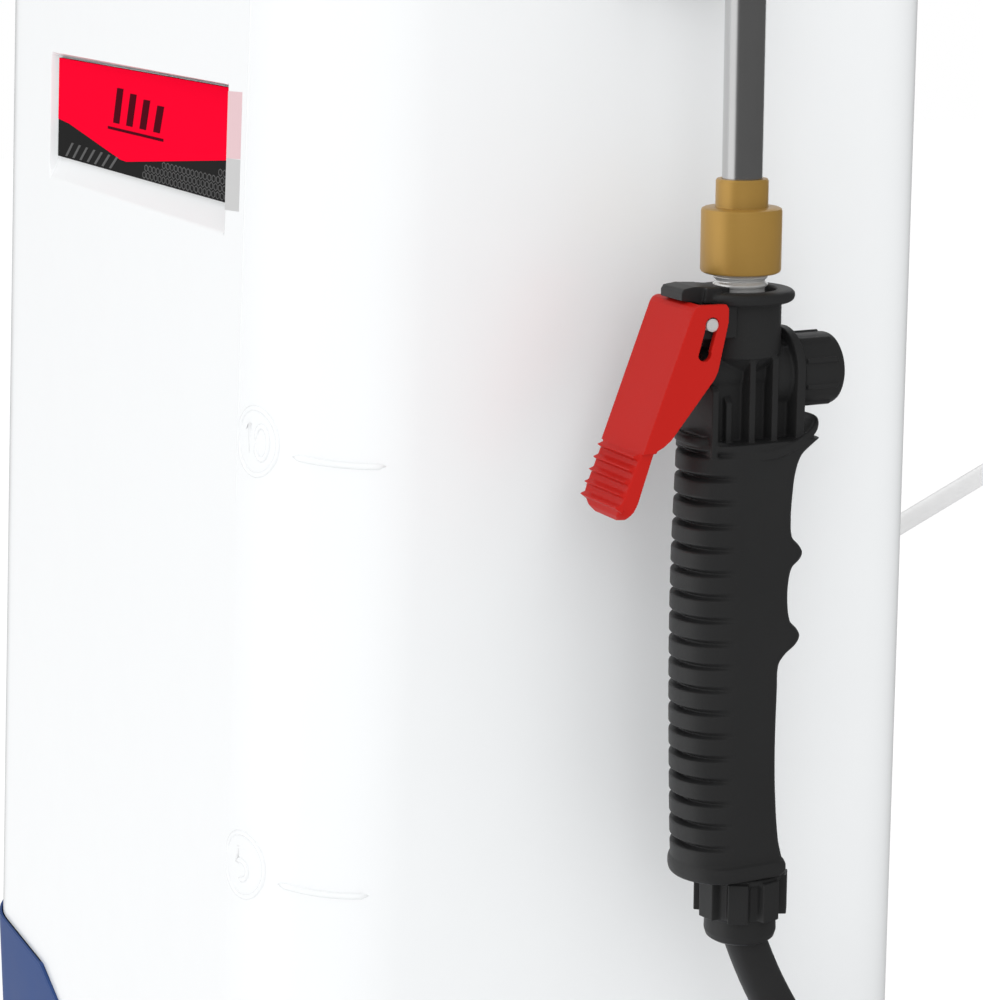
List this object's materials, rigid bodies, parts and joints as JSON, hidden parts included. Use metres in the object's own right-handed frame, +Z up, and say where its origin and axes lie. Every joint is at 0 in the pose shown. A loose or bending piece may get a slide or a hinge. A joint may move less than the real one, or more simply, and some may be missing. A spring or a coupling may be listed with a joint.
{
  "type": "backpack sprayer",
  "caption": "Backpack sprayer: upright white tank on a blue base with a side pump lever, shoulder straps, and a trigger handle with a steel lance clipped beside it.",
  "frame": {"origin": "on the floor, under the middle of the base, on the face the sprayer stands on", "axes": "+Z up along the tank and lance, +X towards the wearer's right (the lance side), +Y towards the wearer's back"},
  "size_m": [0.4925, 0.5645, 0.9688],
  "materials": {
    "tank_white": "glossy, slightly translucent blow-moulded polyethylene",
    "base_blue": "moulded blue, fine grain",
    "black_plastic": "moulded black, fine grain",
    "label": "printed film, red over black",
    "trigger_red": "moulded red, satin",
    "brass": "turned, satin",
    "stainless": "drawn tube, satin",
    "bright_steel": "turned and plated",
    "rubber": "matt",
    "hose_rubber": "smooth, matt",
    "natural_plastic": "moulded natural nylon",
    "pad_fabric": "woven cover over foam",
    "webbing": "flat woven webbing"
  },
  "bodies": {
    "tank": {"tank_shell": "tank_white", "label_plate": "label", "carry_handle": "black_plastic", "handle_studs": "bright_steel", "base_shell": "base_blue", "bottom_cover": "black_plastic", "base_screws": "bright_steel", "lever_bushes": "natural_plastic", "pump_cylinder": "natural_plastic", "cylinder_gasket": "rubber", "cylinder_nut": "black_plastic", "valve_plate": "natural_plastic", "pressure_chamber": "natural_plastic", "outlet_pipe": "natural_plastic", "outlet_fitting": "black_plastic", "lance_clip": "black_plastic", "clip_screws": "bright_steel", "back_pad": "pad_fabric", "shoulder_pad_left": "pad_fabric", "shoulder_pad_right": "pad_fabric", "strap_buckle_left": "black_plastic", "strap_buckle_right": "black_plastic", "lower_webbing_left": "webbing", "lower_webbing_right": "webbing", "upper_strap_anchors": "black_plastic", "lower_strap_hooks": "black_plastic", "hose_upper": "hose_rubber", "hose_lower": "hose_rubber", "hose_coil": "hose_rubber"},
    "strainer": {"strainer_basket": "natural_plastic", "cap_gasket": "rubber"},
    "cap": {"filler_cap": "base_blue"},
    "lever": {"pump_shaft": "stainless", "crank_arm": "stainless", "lever_arm": "stainless", "lever_grip": "rubber", "lever_pin": "bright_steel"},
    "piston": {"piston_rod": "natural_plastic", "piston": "natural_plastic", "piston_seal": "rubber"},
    "ball": {"outlet_ball": "natural_plastic"},
    "outlet_nut": {"outlet_nut": "black_plastic"},
    "wand": {"handle_body": "black_plastic", "trigger_pin": "bright_steel", "lance_adapter": "bright_steel", "lance_seal": "rubber", "lance_tube": "stainless", "valve_spring": "bright_steel", "valve_cap": "black_plastic", "hose_barb": "brass", "handle_filter": "natural_plastic", "nozzle_elbow": "black_plastic", "nozzle_tip": "brass"},
    "trigger": {"trigger": "trigger_red"},
    "valve": {"valve_stem": "brass", "valve_seal": "rubber"},
    "lance_nut": {"lance_nut": "brass"},
    "hose_nut": {"hose_nut": "black_plastic"},
    "nozzle_cap": {"nozzle_cap": "black_plastic"}
  },
  "joints": [
    {"name": "strainer_lift", "type": "slide", "parent": "tank", "child": "strainer", "axis": [0, 0, 1], "range_m": [0, 0.135]},
    {"name": "cap_turn", "type": "hinge", "parent": "strainer", "child": "cap", "pos_m": [0, -0.006, 0.52], "axis": [0, 0, 1], "continuous": true},
    {"name": "lever_swing", "type": "hinge", "parent": "tank", "child": "lever", "pos_m": [-0.1655, -0.028, 0.069], "axis": [1, 0, 0], "range_deg": [-25, 25]},
    {"name": "piston_stroke", "type": "slide", "parent": "tank", "child": "piston", "axis": [0, 0, 1], "range_m": [-0.0125, 0.0125]},
    {"name": "ball_lift", "type": "slide", "parent": "tank", "child": "ball", "axis": [0, 0, 1], "range_m": [0, 0.004]},
    {"name": "outlet_nut_turn", "type": "hinge", "parent": "tank", "child": "outlet_nut", "pos_m": [0.155, 0.06, 0.026], "axis": [1, 0, 0], "continuous": true},
    {"name": "wand_unclip", "type": "slide", "parent": "tank", "child": "wand", "axis": [1, 0, 0], "range_m": [0, 0.06], "deforming": ["hose_upper"]},
    {"name": "trigger_squeeze", "type": "hinge", "parent": "wand", "child": "trigger", "pos_m": [0.1795, -0.004, 0.3595], "axis": [1, 0, 0], "range_deg": [0, 16], "stiffness_Nm_per_rad": 0.3, "springref_deg": -28.65},
    {"name": "valve_open", "type": "slide", "parent": "wand", "child": "valve", "axis": [0, 1, 0], "range_m": [0, 0.0046], "deforming": ["valve_spring"]},
    {"name": "lance_nut_turn", "type": "hinge", "parent": "wand", "child": "lance_nut", "pos_m": [0.1795, 0.01, 0.377], "axis": [0, 0, 1], "continuous": true},
    {"name": "hose_nut_turn", "type": "hinge", "parent": "wand", "child": "hose_nut", "pos_m": [0.1795, 0.0136, 0.209], "axis": [0, 0, 1], "continuous": true},
    {"name": "nozzle_cap_turn", "type": "hinge", "parent": "wand", "child": "nozzle_cap", "pos_m": [0.1795, 0.01, 0.9456], "axis": [0, -0.866, 0.5], "continuous": true}
  ],
  "couplings": [
    {"joint": "piston_stroke", "follows": "lever_swing", "m_per_rad": 0.028},
    {"joint": "valve_open", "follows": "trigger_squeeze", "m_per_rad": 0.01631}
  ]
}
